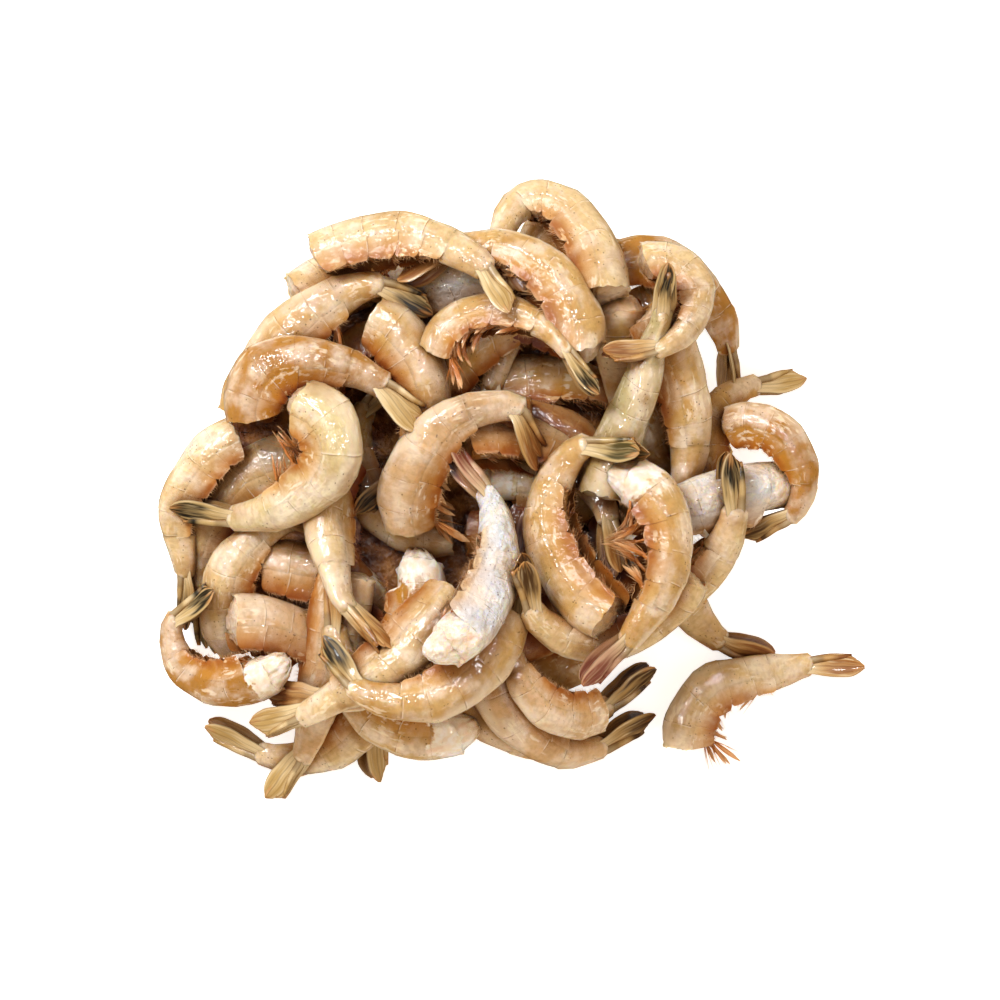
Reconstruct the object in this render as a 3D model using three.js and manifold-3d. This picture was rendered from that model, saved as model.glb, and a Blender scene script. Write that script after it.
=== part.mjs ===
// A heap of raw headless shrimp with their shells on, as it lies on a flat surface.
//
// Millimetres, +Z up. The origin is the middle of the heap's footprint, on the surface.
// The heap is one solid: a low core dome, which stands for the shrimp that no one sees, and
// the shrimp that show, each at its true size, fused where they press on each other.
// Every shrimp is a straight loft that is bent along its own curled middle line and laid
// down on what was laid before it, from the bottom of the heap to the top.

import * as THREE from 'three';
import { mergeVertices } from 'three/addons/utils/BufferGeometryUtils.js';
import Module from 'manifold-3d';

// One shrimp of size 1, laid straight: about 43 of them weigh a pound
const BODY_LENGTH = 61;
const FAN_LENGTH = 20.5;
const SIDES = 7;

// Along the shrimp: distance from the front cut, half depth back to belly, half width,
// and how far the folded swimmerets stand out under the belly
const RINGS = [
  [0, 9.0, 7.4, 0.4],
  [9, 9.5, 7.9, 1.2],
  [18, 9.2, 7.6, 2.6],
  [27, 8.9, 7.4, 1.0],
  [36, 8.1, 6.7, 2.4],
  [47, 6.4, 5.2, 0.8],
  [61, 4.0, 3.2, 0],
  [71, 4.5, 2.5, 0],
  [81.5, 1.5, 0.9, 0],
];

// A section is this much wider at the back than in the middle, and narrower at the belly
const BACK_WIDENING = 0.12;

// The tail joint, where the fan turns: its start and its length, as shares of the body
const JOINT_START = 0.97;
const JOINT_LENGTH = 0.1;

// The middle line's steps, and the distance over which its direction is taken
const LINE_STEPS = 60;
const LOOK_AHEAD = 0.5;

// The core dome: its middle, half sizes, height and facets
const CORE_X = -12;
const CORE_Y = 5;
const CORE_HALF_LENGTH = 88;
const CORE_HALF_WIDTH = 84;
const CORE_HEIGHT = 12;
const CORE_SIDES = 28;
const CORE_STEPS = 6;

// How the shrimp lie. A shrimp is checked at samples along it. Where two cross, their middle
// lines keep this share of their two half heights, less how deep they press into each other,
// and each presses a little into the surface below the heap.
const SAMPLES = 15;
const NESTLE = 0.68;
const SETTLE = 0.8;
const PRESS = 0.25;

// How a shrimp gives way: it leans, its ends sag, and its tail fan rises at the tail joint
// until its outer part lies on what is under it. Leans and rises are slopes.
const LEAN_STEP = 0.05;
const LEAN_STEPS = 10;
const SAG_STEP = 2;
const SAG_STEPS = 5;
const FAN_NESTLE = 0.9;
const FAN_OUTER = 0.4;
const FAN_RISE_MAX = 0.35;

// Cubic millimetres: what fusing cuts off and is dropped stays below this
const SCRAP_MAX = 50;

// Vertices closer than this are one vertex
const SAME_PLACE = 1e-4;

// The room above the surface, wider and higher than the heap
const ROOM_WIDTH = 400;
const ROOM_HEIGHT = 200;

const RIGHT = 1;
const LEFT = -1;

// Where the shrimp lie, lowest first. Front cut x and y, heading of the front in degrees,
// curl of the front half and of the rear half, curl of the tail fan, belly side, size,
// girth, roll of the back upwards, and lift of a tail fan that stands free
const SHRIMP = [
  [-10, 37, 15, 20, 30, 0, RIGHT, 1.0, 1.0, 0, 0],
  [-86, 28, 78, 34, 30, 20, RIGHT, 1.0, 1.0, 0, 0],
  [-68, 68, 35, 25, 30, 10, RIGHT, 1.0, 1.0, 0, 0],
  [47, 70, -70, -5, -10, 0, RIGHT, 1.0, 1.0, 0, 0],
  [20, 95, -118, 5, 8, 0, LEFT, 1.0, 1.0, 0, 0],
  [-24, 33, 70, 40, 40, 0, RIGHT, 1.0, 1.0, 10, 0],
  [-33, 69, 25, 25, 30, 10, RIGHT, 1.0, 1.0, 0, 0],
  [41, 65, -95, 20, 30, 0, LEFT, 1.0, 1.0, 20, 0],
  [39, 79, 15, 55, 40, 0, RIGHT, 0.85, 1.0, 0, 0],
  [-16, -9, -165, 70, 60, 10, RIGHT, 1.0, 1.0, 0, 0],
  [-4, 6, 5, 20, 40, 0, RIGHT, 1.0, 1.0, 15, 0],
  [-79, -22, 0, 30, 50, 0, RIGHT, 1.0, 1.0, 0, 0],
  [-14, -52, -75, 55, 55, 0, LEFT, 1.0, 1.0, 0, 0],
  [-16, -37, -88, 25, 60, 0, LEFT, 1.0, 1.0, 0, 0],
  [49, 7, -88, 20, 28, 17, LEFT, 1.0, 1.0, 0, 0],
  [71, -7, 115, 35, 55, 10, RIGHT, 0.85, 1.0, 0, 0],
  [50, 63, -60, 15, 35, 0, RIGHT, 1.0, 1.0, 30, 0],
  [94, 4, 180, 20, 40, 0, LEFT, 1.0, 1.0, 0, 0],
  [-69, 15, -165, 40, 40, 0, LEFT, 1.0, 1.0, 0, 0],
  [-87, 21, -160, 50, 35, -20, LEFT, 0.85, 1.0, 0, 0],
  [-87, -47, 132, 70, 45, 12, RIGHT, 0.85, 1.05, 0, 0],
  [-90, -41, 5, 40, 40, 0, RIGHT, 1.0, 1.0, 0, 0],
  [-43, 61, -25, 55, 50, 0, RIGHT, 1.0, 1.0, 0, 0],
  [-13, 20, 15, 40, 50, 0, RIGHT, 1.0, 1.0, 0, 0],
  [34, 68, 92, 40, 140, 10, LEFT, 1.0, 1.0, 0, 0],
  [-40, -52, -85, 55, 55, 5, RIGHT, 1.0, 1.0, 0, 0],
  [-50, -25, -100, 5, 5, 10, RIGHT, 1.0, 1.0, 50, 0],
  [-14, -76, -160, 60, 50, 0, RIGHT, 1.0, 1.0, 0, 0],
  [-82, 32, 78, 35, 30, 35, RIGHT, 1.0, 1.0, 0, 0],
  [27, 49, 92, 48, 50, 15, LEFT, 1.0, 1.0, 0, 0],
  [33, 1, 73, -5, 8, 8, LEFT, 1.0, 1.0, 60, 25],
  [77, 24, 22, 80, 60, 30, RIGHT, 0.75, 1.0, 0, 0],
  [31, -34, -10, 40, 50, 8, LEFT, 1.0, 1.0, 0, 0],
  [-3, -44, -93, 38, 68, 12, LEFT, 1.0, 1.0, 0, 0],
  [32, -70, -155, 75, 35, 8, RIGHT, 0.75, 1.0, 0, 0],
  [-28, -23, -80, 40, 60, 0, RIGHT, 1.0, 1.0, 20, 0],
  [-15, -32, -130, 10, 15, 0, RIGHT, 1.0, 1.0, 0, 0],
  [-57, 25, -100, 15, 20, 15, LEFT, 1.0, 1.0, 70, 0],
  [-21, 48, 75, 80, 45, 0, RIGHT, 0.86, 0.85, 0, 0],
  [47, 79, 22, 105, 80, 5, RIGHT, 0.78, 0.95, 0, 0],
  [-76, -56, -140, 60, 85, 33, RIGHT, 0.8, 1.05, 0, 0],
  [1, -37, -98, 52, 62, 16, RIGHT, 1.05, 1.0, 0, 0],
  [-19, -48, 30, 45, 45, 0, LEFT, 0.95, 1.0, 0, 0],
  [61, -24, -110, 50, 65, 25, RIGHT, 1.0, 1.0, 0, 0],
  [-61, 80, 30, 30, 40, 12, RIGHT, 0.95, 1.0, 0, 0],
  [-81, 27, 108, 110, 28, 3, RIGHT, 0.93, 1.12, 0, 0],
  [-66, 31, -10, 130, 32, 11, RIGHT, 1.05, 1.0, 0, 0],
  [-30, -9, 105, 55, 55, 50, RIGHT, 1.0, 1.0, 0, 0],
  [37, -39, 150, 45, 65, 40, RIGHT, 1.1, 1.0, 0, 0],
  [42, 6, -25, 75, 30, 0, RIGHT, 1.0, 1.0, 0, 0],
  [63, -83, 103, 88, 6, 3, RIGHT, 0.9, 1.0, 0, 0],
];

const wasm = await Module();
wasm.setup();

const clamp = (value, low, high) => Math.min(Math.max(value, low), high);
const radians = (degrees) => (degrees * Math.PI) / 180;

// The section of a shrimp at a distance along its unscaled length
function sectionAt(distance) {
  const last = RINGS.length - 1;
  let i = 1;
  while (i < last && RINGS[i][0] < distance) i += 1;
  const [from, depth0, width0] = RINGS[i - 1];
  const [to, depth1, width1] = RINGS[i];
  const t = clamp((distance - from) / (to - from), 0, 1);
  return { depth: depth0 + (depth1 - depth0) * t, width: width0 + (width1 - width0) * t };
}

// A small shrimp is a little thick for its length, and its fan a little long
function readRow(row) {
  const [x, y, heading, front, rear, fan, side, size, girth, roll, lift] = row;
  return {
    x,
    y,
    heading,
    front,
    rear,
    fan,
    side,
    body: BODY_LENGTH * size,
    tail: FAN_LENGTH * (0.5 + 0.5 * size),
    thickness: girth * (0.3 + 0.7 * size),
    roll: radians(roll),
    lift: radians(lift),
  };
}

// A distance along this shrimp, from the distance along the unscaled one
function stretched(shrimp, distance) {
  if (distance <= BODY_LENGTH) return (distance / BODY_LENGTH) * shrimp.body;
  return shrimp.body + ((distance - BODY_LENGTH) / FAN_LENGTH) * shrimp.tail;
}

// The middle line in plan: a point and a direction for each of many small steps
function middleLine(shrimp) {
  const length = shrimp.body + shrimp.tail;
  const step = length / LINE_STEPS;
  const half = shrimp.body / 2;
  const jointStart = JOINT_START * shrimp.body;
  const jointLength = JOINT_LENGTH * shrimp.body;
  const points = [];
  let { x, y } = shrimp;
  for (let i = 0; i <= LINE_STEPS; i += 1) {
    const middle = (i + 0.5) * step;
    let turn = shrimp.front * clamp(middle / half, 0, 1);
    turn += shrimp.rear * clamp((middle - half) / half, 0, 1);
    turn += shrimp.fan * clamp((middle - jointStart) / jointLength, 0, 1);
    const angle = radians(shrimp.heading - shrimp.side * turn);
    points.push({ x, y, angle });
    x += step * Math.cos(angle);
    y += step * Math.sin(angle);
  }
  return { points, length };
}

function pointAt(line, distance) {
  const place = clamp(distance / line.length, 0, 1) * LINE_STEPS;
  const i = Math.min(Math.floor(place), LINE_STEPS - 1);
  const t = place - i;
  const a = line.points[i];
  const b = line.points[i + 1];
  return {
    x: a.x + (b.x - a.x) * t,
    y: a.y + (b.y - a.y) * t,
    angle: a.angle + (b.angle - a.angle) * t,
  };
}

function coreHeight(x, y) {
  const inside = 1 - ((x - CORE_X) / CORE_HALF_LENGTH) ** 2 - ((y - CORE_Y) / CORE_HALF_WIDTH) ** 2;
  return inside > 0 ? CORE_HEIGHT * Math.sqrt(inside) : 0;
}

// The places along a shrimp where its contacts are checked: how far the section reaches
// across and up, with its roll
function samplesAlong(shrimp, line) {
  const samples = [];
  for (let i = 0; i < SAMPLES; i += 1) {
    const unscaled = ((i + 0.5) / SAMPLES) * (BODY_LENGTH + FAN_LENGTH);
    const section = sectionAt(unscaled);
    const distance = stretched(shrimp, unscaled);
    const { x, y } = pointAt(line, distance);
    const depth = section.depth * shrimp.thickness;
    const width = section.width * shrimp.thickness;
    const across = Math.hypot(depth * Math.cos(shrimp.roll), width * Math.sin(shrimp.roll));
    const up = Math.hypot(depth * Math.sin(shrimp.roll), width * Math.cos(shrimp.roll));
    samples.push({ x, y, across, up, distance });
  }
  return samples;
}

// The height that a sample must have over the surface, the core and what lies there.
// Closeness is the share of their half heights that two keep where they cross.
function heightNeeded(sample, laid, closeness) {
  const overCore = coreHeight(sample.x, sample.y) + closeness * sample.up - SETTLE;
  let height = Math.max(sample.up - PRESS, overCore);
  for (const other of laid) {
    const gap = Math.hypot(sample.x - other.x, sample.y - other.y) / (sample.across + other.across);
    if (gap < 1) {
      const rise = closeness * (sample.up + other.up) * Math.sqrt(1 - gap * gap);
      height = Math.max(height, other.z + rise - SETTLE);
    }
  }
  return height;
}

// How far the middle line stands off its leaning plane: a rising fan and sagging ends
function standOff(shrimp, line, fanRise, sag, distance) {
  const rising = Math.max(distance - shrimp.body, 0) * fanRise;
  return rising - sag * (2 * distance / line.length - 1) ** 2;
}

function heightAt(shrimp, line, pose, distance, x, y) {
  const plane = pose.leanX * (x - pose.middle.x) + pose.leanY * (y - pose.middle.y);
  return pose.level + plane + standOff(shrimp, line, pose.fanRise, pose.sag, distance);
}

// The leaning plane and the sag that bring the shrimp's mean height lowest
function lowestPose(shrimp, line, samples, laid) {
  const middle = {
    x: samples.reduce((sum, s) => sum + s.x, 0) / SAMPLES,
    y: samples.reduce((sum, s) => sum + s.y, 0) / SAMPLES,
  };
  const heights = samples.map((sample) => heightNeeded(sample, laid, NESTLE));
  const fanRise = Math.tan(shrimp.lift);
  let best = null;
  for (let i = 0; i <= SAG_STEPS; i += 1) {
    const sag = i * SAG_STEP;
    const offs = samples.map((s) => standOff(shrimp, line, fanRise, sag, s.distance));
    const meanOff = offs.reduce((sum, off) => sum + off, 0) / SAMPLES;
    for (let j = -LEAN_STEPS; j <= LEAN_STEPS; j += 1) {
      const leanX = j * LEAN_STEP;
      for (let k = -LEAN_STEPS; k <= LEAN_STEPS; k += 1) {
        const leanY = k * LEAN_STEP;
        let level = -Infinity;
        samples.forEach((s, n) => {
          const plane = leanX * (s.x - middle.x) + leanY * (s.y - middle.y) + offs[n];
          level = Math.max(level, heights[n] - plane);
        });
        if (best === null || level + meanOff < best.mean) {
          best = { mean: level + meanOff, level, leanX, leanY, sag, middle, fanRise };
        }
      }
    }
  }
  return best;
}

// The slope at which the outer part of the tail fan clears what is under it
function fanRiseOver(shrimp, line, pose, samples, laid) {
  const unbent = { ...pose, fanRise: 0 };
  let rise = pose.fanRise;
  for (const s of samples) {
    const alongFan = s.distance - shrimp.body;
    if (alongFan > FAN_OUTER * shrimp.tail) {
      const wanted = heightNeeded(s, laid, FAN_NESTLE) - heightAt(shrimp, line, unbent, s.distance, s.x, s.y);
      rise = Math.max(rise, Math.min(wanted / alongFan, FAN_RISE_MAX));
    }
  }
  return rise;
}

// Lay a shrimp on what was laid before it. A fan that stands free carries nothing.
function lay(shrimp, line, laid) {
  const samples = samplesAlong(shrimp, line);
  const pose = lowestPose(shrimp, line, samples, laid);
  pose.fanRise = fanRiseOver(shrimp, line, pose, samples, laid);
  samples.forEach((s) => {
    s.z = heightAt(shrimp, line, pose, s.distance, s.x, s.y);
  });
  laid.push(...samples.filter((s) => shrimp.lift === 0 || s.distance < shrimp.body));
  return pose;
}

function withoutNormals(geometry) {
  geometry.deleteAttribute('normal');
  geometry.deleteAttribute('uv');
  return mergeVertices(geometry, SAME_PLACE);
}

// The straight loft of a shrimp: a closed cylinder whose rings become the sections
function loft() {
  return withoutNormals(new THREE.CylinderGeometry(1, 1, 1, SIDES, RINGS.length - 1));
}

// A point of the straight shrimp, put in its place: along, towards the back, and sideways
function placed(shrimp, line, pose, along, back, sideways) {
  const at = pointAt(line, along);
  const z = heightAt(shrimp, line, pose, along, at.x, at.y);
  const x1 = at.x + LOOK_AHEAD * Math.cos(at.angle);
  const y1 = at.y + LOOK_AHEAD * Math.sin(at.angle);
  const z1 = heightAt(shrimp, line, pose, along + LOOK_AHEAD, x1, y1);
  const tangent = new THREE.Vector3(x1 - at.x, y1 - at.y, z1 - z).normalize();
  const up = new THREE.Vector3(-pose.leanX, -pose.leanY, 1);
  up.addScaledVector(tangent, -up.dot(tangent)).normalize();
  const outward = new THREE.Vector3().crossVectors(up, tangent).multiplyScalar(shrimp.side);
  outward.multiplyScalar(Math.cos(shrimp.roll)).addScaledVector(up, Math.sin(shrimp.roll));
  const lateral = new THREE.Vector3().crossVectors(tangent, outward);
  return new THREE.Vector3(at.x, at.y, z)
    .addScaledVector(outward, back)
    .addScaledVector(lateral, sideways);
}

// The edge of each section nearest the belly stands out as far as the swimmerets
function shrimpGeometry(shrimp, line, pose) {
  const geometry = loft();
  const position = geometry.getAttribute('position');
  const vertex = new THREE.Vector3();
  const bellySide = -Math.cos(Math.PI / SIDES) + SAME_PLACE;
  for (let i = 0; i < position.count; i += 1) {
    vertex.fromBufferAttribute(position, i);
    const ring = Math.round((0.5 - vertex.y) * (RINGS.length - 1));
    const [distance, depth, width, swimmerets] = RINGS[ring];
    const belly = vertex.x < bellySide ? swimmerets : 0;
    const back = (depth * vertex.x - belly) * shrimp.thickness;
    const sideways = width * vertex.z * (1 + BACK_WIDENING * vertex.x) * shrimp.thickness;
    const point = placed(shrimp, line, pose, stretched(shrimp, distance), back, sideways);
    position.setXYZ(i, point.x, point.y, point.z);
  }
  return geometry;
}

function coreGeometry() {
  const profile = [new THREE.Vector2(0, 0)];
  for (let i = 0; i < CORE_STEPS; i += 1) {
    const angle = (i / CORE_STEPS) * (Math.PI / 2);
    profile.push(new THREE.Vector2(Math.cos(angle), Math.sin(angle)));
  }
  profile.push(new THREE.Vector2(0, 1));
  const dome = new THREE.LatheGeometry(profile, CORE_SIDES);
  dome.rotateX(Math.PI / 2);
  dome.scale(CORE_HALF_LENGTH, CORE_HALF_WIDTH, CORE_HEIGHT);
  dome.translate(CORE_X, CORE_Y, 0);
  return withoutNormals(dome);
}

function toSolid(geometry) {
  return new wasm.Manifold(new wasm.Mesh({
    numProp: 3,
    vertProperties: new Float32Array(geometry.getAttribute('position').array),
    triVerts: new Uint32Array(geometry.getIndex().array),
  }));
}

function toGeometry(solid) {
  const mesh = solid.getMesh();
  const geometry = new THREE.BufferGeometry();
  geometry.setAttribute('position', new THREE.BufferAttribute(mesh.vertProperties, 3));
  geometry.setIndex(new THREE.BufferAttribute(mesh.triVerts, 1));
  geometry.computeVertexNormals();
  return geometry;
}

// Everything that reaches below the surface is pressed flat against it
function aboveSurface(solid) {
  const room = new THREE.BoxGeometry(ROOM_WIDTH, ROOM_WIDTH, ROOM_HEIGHT);
  room.translate(0, 0, ROOM_HEIGHT / 2);
  return solid.intersect(toSolid(withoutNormals(room)));
}

// The core and all the shrimp, fused to one body
function heap() {
  let solid = toSolid(coreGeometry());
  const laid = [];
  for (const row of SHRIMP) {
    const shrimp = readRow(row);
    const line = middleLine(shrimp);
    const pose = lay(shrimp, line, laid);
    solid = solid.add(toSolid(shrimpGeometry(shrimp, line, pose)));
  }
  const pieces = aboveSurface(solid).decompose();
  pieces.sort((a, b) => b.volume() - a.volume());
  if (pieces.length > 1 && pieces[1].volume() > SCRAP_MAX) {
    throw new Error('a shrimp lies loose: ' + pieces.slice(1).map((p) => p.volume().toFixed(0)));
  }
  return toGeometry(pieces[0]);
}

const shell = new THREE.MeshStandardMaterial({ color: 0xcdb48c, roughness: 0.3, metalness: 0 });
const shrimpHeap = new THREE.Mesh(heap(), shell);
shrimpHeap.name = 'shrimp_heap';

const part = new THREE.Group();
part.add(shrimpHeap);

export default part;
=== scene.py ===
"""A heap of raw headless shrimp with their shells on, as it lies on a pale surface.

Each shrimp is modelled straight, from its body, side flaps, tail fan and swimmerets, and a
copy of every piece is bent along the middle line on which that shrimp lies.
A straight shrimp points along +X from its front cut to its tail, with its back along +Y.
"""
import math
import random

import bmesh
import bpy
import numpy as np
from mathutils import Matrix, Vector


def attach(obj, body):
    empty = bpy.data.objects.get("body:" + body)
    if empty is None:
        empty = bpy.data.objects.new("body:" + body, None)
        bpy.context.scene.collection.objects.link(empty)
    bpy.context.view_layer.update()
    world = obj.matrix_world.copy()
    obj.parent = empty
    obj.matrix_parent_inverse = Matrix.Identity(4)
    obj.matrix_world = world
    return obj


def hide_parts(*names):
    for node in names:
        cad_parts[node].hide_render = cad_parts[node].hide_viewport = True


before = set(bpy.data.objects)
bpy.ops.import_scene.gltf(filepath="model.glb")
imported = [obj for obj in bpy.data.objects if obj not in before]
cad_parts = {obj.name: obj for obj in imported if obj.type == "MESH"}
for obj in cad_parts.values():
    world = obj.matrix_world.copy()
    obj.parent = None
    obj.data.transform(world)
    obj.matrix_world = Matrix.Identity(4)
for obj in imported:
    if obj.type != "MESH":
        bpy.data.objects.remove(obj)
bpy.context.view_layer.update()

MM = 0.001

# One shrimp of size 1, laid straight, in millimetres
BODY_LENGTH = 61
FAN_LENGTH = 20.5

# Along the shrimp: distance from the front cut, half depth back to belly, and half width
RINGS = [
    (0, 9.0, 7.4),
    (9, 9.5, 7.9),
    (18, 9.2, 7.6),
    (27, 8.9, 7.4),
    (36, 8.1, 6.7),
    (47, 6.4, 5.2),
    (61, 4.0, 3.2),
    (71, 4.5, 2.5),
    (81.5, 1.5, 0.9),
]

# The tail joint, where the fan turns: its start and its length, as shares of the body
JOINT_START = 0.97
JOINT_LENGTH = 0.1
LINE_STEPS = 60

# The low dome that the lowest shrimp lie on: its middle, half sizes and height
CORE_X = -12
CORE_Y = 5
CORE_HALF_LENGTH = 88
CORE_HALF_WIDTH = 84
CORE_HEIGHT = 12

# How the shrimp lie: where two cross, their middle lines keep this share of their two half
# heights, less how deep they press into each other. Leans and rises are slopes.
SAMPLES = 15
NESTLE = 0.68
SETTLE = 0.8
PRESS = 0.25
LEAN_STEP = 0.05
LEAN_STEPS = 10
SAG_STEP = 2
SAG_STEPS = 5
FAN_NESTLE = 0.9
FAN_OUTER = 0.4
FAN_RISE_MAX = 0.35

RIGHT = 1
LEFT = -1

# Where the shrimp lie, lowest first. Front cut x and y, heading of the front in degrees,
# curl of the front half and of the rear half, curl of the tail fan, belly side, size,
# girth, roll of the back upwards, lift of a tail fan that stands free, and then the looks:
# shell tint, tail fan's form, its tint, the front cut, and how the swimmerets lie. The last
# looks of a row are left off where they are the usual ones.
USUAL_LOOKS = ("tan", "closed", "amber", "flat", "tight")
SHRIMP = [
    (-10, 37, 15, 20, 30, 0, RIGHT, 1.0, 1.0, 0, 0),
    (-86, 28, 78, 34, 30, 20, RIGHT, 1.0, 1.0, 0, 0),
    (-68, 68, 35, 25, 30, 10, RIGHT, 1.0, 1.0, 0, 0, "cream", "half", "olive"),
    (47, 70, -70, -5, -10, 0, RIGHT, 1.0, 1.0, 0, 0),
    (20, 95, -118, 5, 8, 0, LEFT, 1.0, 1.0, 0, 0),
    (-24, 33, 70, 40, 40, 0, RIGHT, 1.0, 1.0, 10, 0, "tan", "closed", "olive"),
    (-33, 69, 25, 25, 30, 10, RIGHT, 1.0, 1.0, 0, 0, "silver"),
    (41, 65, -95, 20, 30, 0, LEFT, 1.0, 1.0, 20, 0, "tan", "closed", "dark", "blunt"),
    (39, 79, 15, 55, 40, 0, RIGHT, 0.85, 1.0, 0, 0, "ochre", "open", "pale"),
    (-16, -9, -165, 70, 60, 10, RIGHT, 1.0, 1.0, 0, 0, "tan", "half"),
    (-4, 6, 5, 20, 40, 0, RIGHT, 1.0, 1.0, 15, 0, "cream", "closed", "amber", "domed"),
    (-79, -22, 0, 30, 50, 0, RIGHT, 1.0, 1.0, 0, 0, "rose"),
    (-14, -52, -75, 55, 55, 0, LEFT, 1.0, 1.0, 0, 0, "rose", "closed", "umber"),
    (-16, -37, -88, 25, 60, 0, LEFT, 1.0, 1.0, 0, 0),
    (49, 7, -88, 20, 28, 17, LEFT, 1.0, 1.0, 0, 0, "cream"),
    (71, -7, 115, 35, 55, 10, RIGHT, 0.85, 1.0, 0, 0, "tan", "closed", "pale", "domed"),
    (50, 63, -60, 15, 35, 0, RIGHT, 1.0, 1.0, 30, 0, "tan", "closed", "olive"),
    (94, 4, 180, 20, 40, 0, LEFT, 1.0, 1.0, 0, 0, "silver", "closed", "pale", "lumpy"),
    (-69, 15, -165, 40, 40, 0, LEFT, 1.0, 1.0, 0, 0, "cream", "half", "olive"),
    (-87, 21, -160, 50, 35, -20, LEFT, 0.85, 1.0, 0, 0, "cream", "closed", "dark"),
    (-87, -47, 132, 70, 45, 12, RIGHT, 0.85, 1.05, 0, 0, "cream", "half", "dark"),
    (-90, -41, 5, 40, 40, 0, RIGHT, 1.0, 1.0, 0, 0, "rose", "closed", "pale"),
    (-43, 61, -25, 55, 50, 0, RIGHT, 1.0, 1.0, 0, 0, "tan", "closed", "dark"),
    (-13, 20, 15, 40, 50, 0, RIGHT, 1.0, 1.0, 0, 0, "rose"),
    (34, 68, 92, 40, 140, 10, LEFT, 1.0, 1.0, 0, 0, "cream"),
    (-40, -52, -85, 55, 55, 5, RIGHT, 1.0, 1.0, 0, 0, "cream", "closed", "pale"),
    (-50, -25, -100, 5, 5, 10, RIGHT, 1.0, 1.0, 50, 0, "rose", "closed", "pale"),
    (-14, -76, -160, 60, 50, 0, RIGHT, 1.0, 1.0, 0, 0, "tan", "closed", "amber", "domed"),
    (-82, 32, 78, 35, 30, 35, RIGHT, 1.0, 1.0, 0, 0, "tan", "closed", "dark", "flat", "bunch"),
    (27, 49, 92, 48, 50, 15, LEFT, 1.0, 1.0, 0, 0, "tan", "closed", "amber", "blunt"),
    (33, 1, 73, -5, 8, 8, LEFT, 1.0, 1.0, 60, 25, "olive", "leaf", "dark"),
    (77, 24, 22, 80, 60, 30, RIGHT, 0.75, 1.0, 0, 0, "ochre", "closed", "umber", "blunt"),
    (31, -34, -10, 40, 50, 8, LEFT, 1.0, 1.0, 0, 0, "cream", "closed", "dark"),
    (-3, -44, -93, 38, 68, 12, LEFT, 1.0, 1.0, 0, 0, "rose", "closed", "umber"),
    (32, -70, -155, 75, 35, 8, RIGHT, 0.75, 1.0, 0, 0, "rose", "closed", "pale"),
    (-28, -23, -80, 40, 60, 0, RIGHT, 1.0, 1.0, 20, 0, "ochre", "closed", "amber", "lumpy"),
    (-15, -32, -130, 10, 15, 0, RIGHT, 1.0, 1.0, 0, 0, "cream", "closed", "pale"),
    (-57, 25, -100, 15, 20, 15, LEFT, 1.0, 1.0, 70, 0, "cream"),
    (-21, 48, 75, 80, 45, 0, RIGHT, 0.86, 0.85, 0, 0, "tan", "closed", "dark", "flat", "front_bunch"),
    (47, 79, 22, 105, 80, 5, RIGHT, 0.78, 0.95, 0, 0, "cream"),
    (-76, -56, -140, 60, 85, 33, RIGHT, 0.8, 1.05, 0, 0, "ochre", "closed", "dark", "lumpy"),
    (1, -37, -98, 52, 62, 16, RIGHT, 1.05, 1.0, 0, 0, "tan", "closed", "dark"),
    (-19, -48, 30, 45, 45, 0, LEFT, 0.95, 1.0, 0, 0, "silver", "closed", "rose", "domed"),
    (61, -24, -110, 50, 65, 25, RIGHT, 1.0, 1.0, 0, 0, "cream", "closed", "umber"),
    (-61, 80, 30, 30, 40, 12, RIGHT, 0.95, 1.0, 0, 0, "cream", "closed", "pale"),
    (-81, 27, 108, 110, 28, 3, RIGHT, 0.93, 1.12, 0, 0, "ochre", "half", "pale"),
    (-66, 31, -10, 130, 32, 11, RIGHT, 1.05, 1.0, 0, 0, "straw", "closed", "dark", "blunt", "bunch"),
    (-30, -9, 105, 55, 55, 50, RIGHT, 1.0, 1.0, 0, 0, "rose", "half", "amber", "flat", "front_bunch"),
    (37, -39, 150, 45, 65, 40, RIGHT, 1.1, 1.0, 0, 0, "tan", "closed", "olive"),
    (42, 6, -25, 75, 30, 0, RIGHT, 1.0, 1.0, 0, 0, "tan", "closed", "rose", "domed", "bunch"),
    (63, -83, 103, 88, 6, 3, RIGHT, 0.9, 1.0, 0, 0, "cream", "closed", "amber", "flat", "front_bunch"),
]


def clamp(value, low, high):
    return min(max(value, low), high)


def section_at(distance):
    """Half depth and half width at a distance along a shrimp of size 1, all in millimetres."""
    place = [ring[0] for ring in RINGS]
    depth = float(np.interp(distance, place, [ring[1] for ring in RINGS]))
    width = float(np.interp(distance, place, [ring[2] for ring in RINGS]))
    return depth, width


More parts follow.
